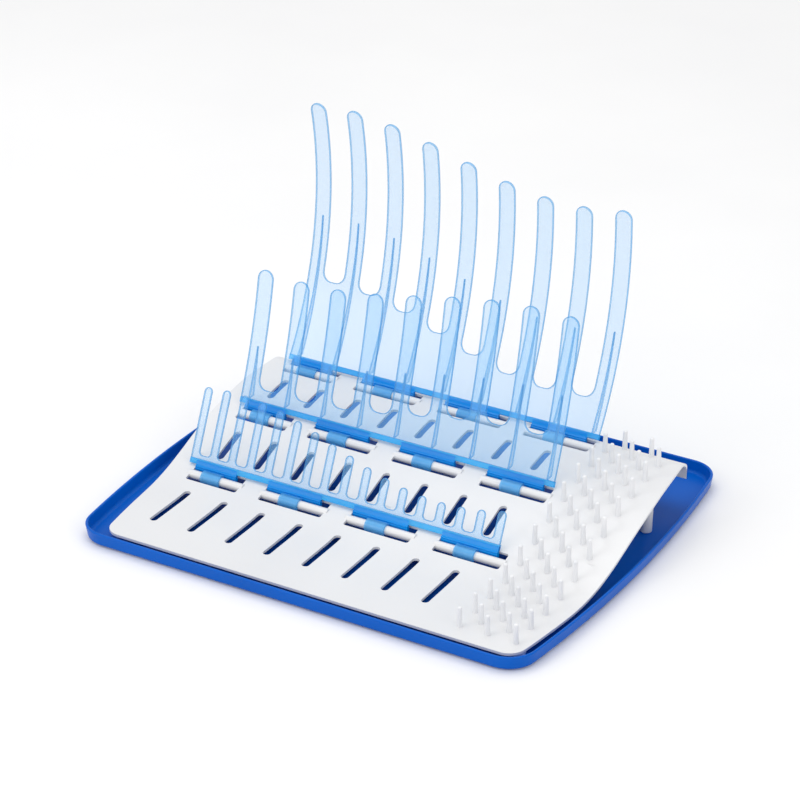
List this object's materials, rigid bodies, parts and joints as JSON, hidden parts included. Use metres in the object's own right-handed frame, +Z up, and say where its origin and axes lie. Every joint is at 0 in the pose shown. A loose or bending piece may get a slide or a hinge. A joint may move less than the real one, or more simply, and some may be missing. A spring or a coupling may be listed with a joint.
{
  "type": "bottle drying rack",
  "caption": "Bottle drying rack: drip tray, sloping slotted deck with pegs, and folding upright combs that hold bottles and small parts.",
  "frame": {"origin": "middle of the tray in plan, on the surface that the rack stands on", "axes": "+X to the peg side on the right, +Y to the back, +Z up"},
  "size_m": [0.4276, 0.3536, 0.2745],
  "materials": {
    "tray_plastic": "moulded gloss blue",
    "deck_plastic": "moulded gloss white",
    "comb_plastic": "translucent light blue",
    "foot_rubber": "matt soft rubber"
  },
  "bodies": {
    "tray": {"tray": "tray_plastic", "tray_foot_1": "foot_rubber", "tray_foot_2": "foot_rubber", "tray_foot_3": "foot_rubber", "tray_foot_4": "foot_rubber"},
    "deck": {"deck": "deck_plastic", "deck_pegs": "deck_plastic", "deck_legs": "deck_plastic"},
    "front_comb": {"front_comb": "comb_plastic"},
    "middle_comb": {"middle_comb": "comb_plastic"},
    "back_comb": {"back_comb": "comb_plastic"}
  },
  "joints": [
    {"name": "deck_lift", "type": "slide", "parent": "tray", "child": "deck", "axis": [0, 0, 1], "range_m": [0, 0.15]},
    {"name": "back_comb_fold", "type": "hinge", "parent": "deck", "child": "back_comb", "pos_m": [0, 0.09332, 0.04648], "axis": [1, 0, 0], "range_deg": [0, 107]},
    {"name": "middle_comb_fold", "type": "hinge", "parent": "deck", "child": "middle_comb", "pos_m": [0, 0.01927, 0.03624], "axis": [1, 0, 0], "range_deg": [0, 116]},
    {"name": "front_comb_fold", "type": "hinge", "parent": "deck", "child": "front_comb", "pos_m": [0, -0.05616, 0.01325], "axis": [1, 0, 0], "range_deg": [0, 118]}
  ],
  "couplings": [
    {"joint": "middle_comb_fold", "follows": "back_comb_fold", "ratio": 1.0841},
    {"joint": "front_comb_fold", "follows": "back_comb_fold", "ratio": 1.1028}
  ]
}
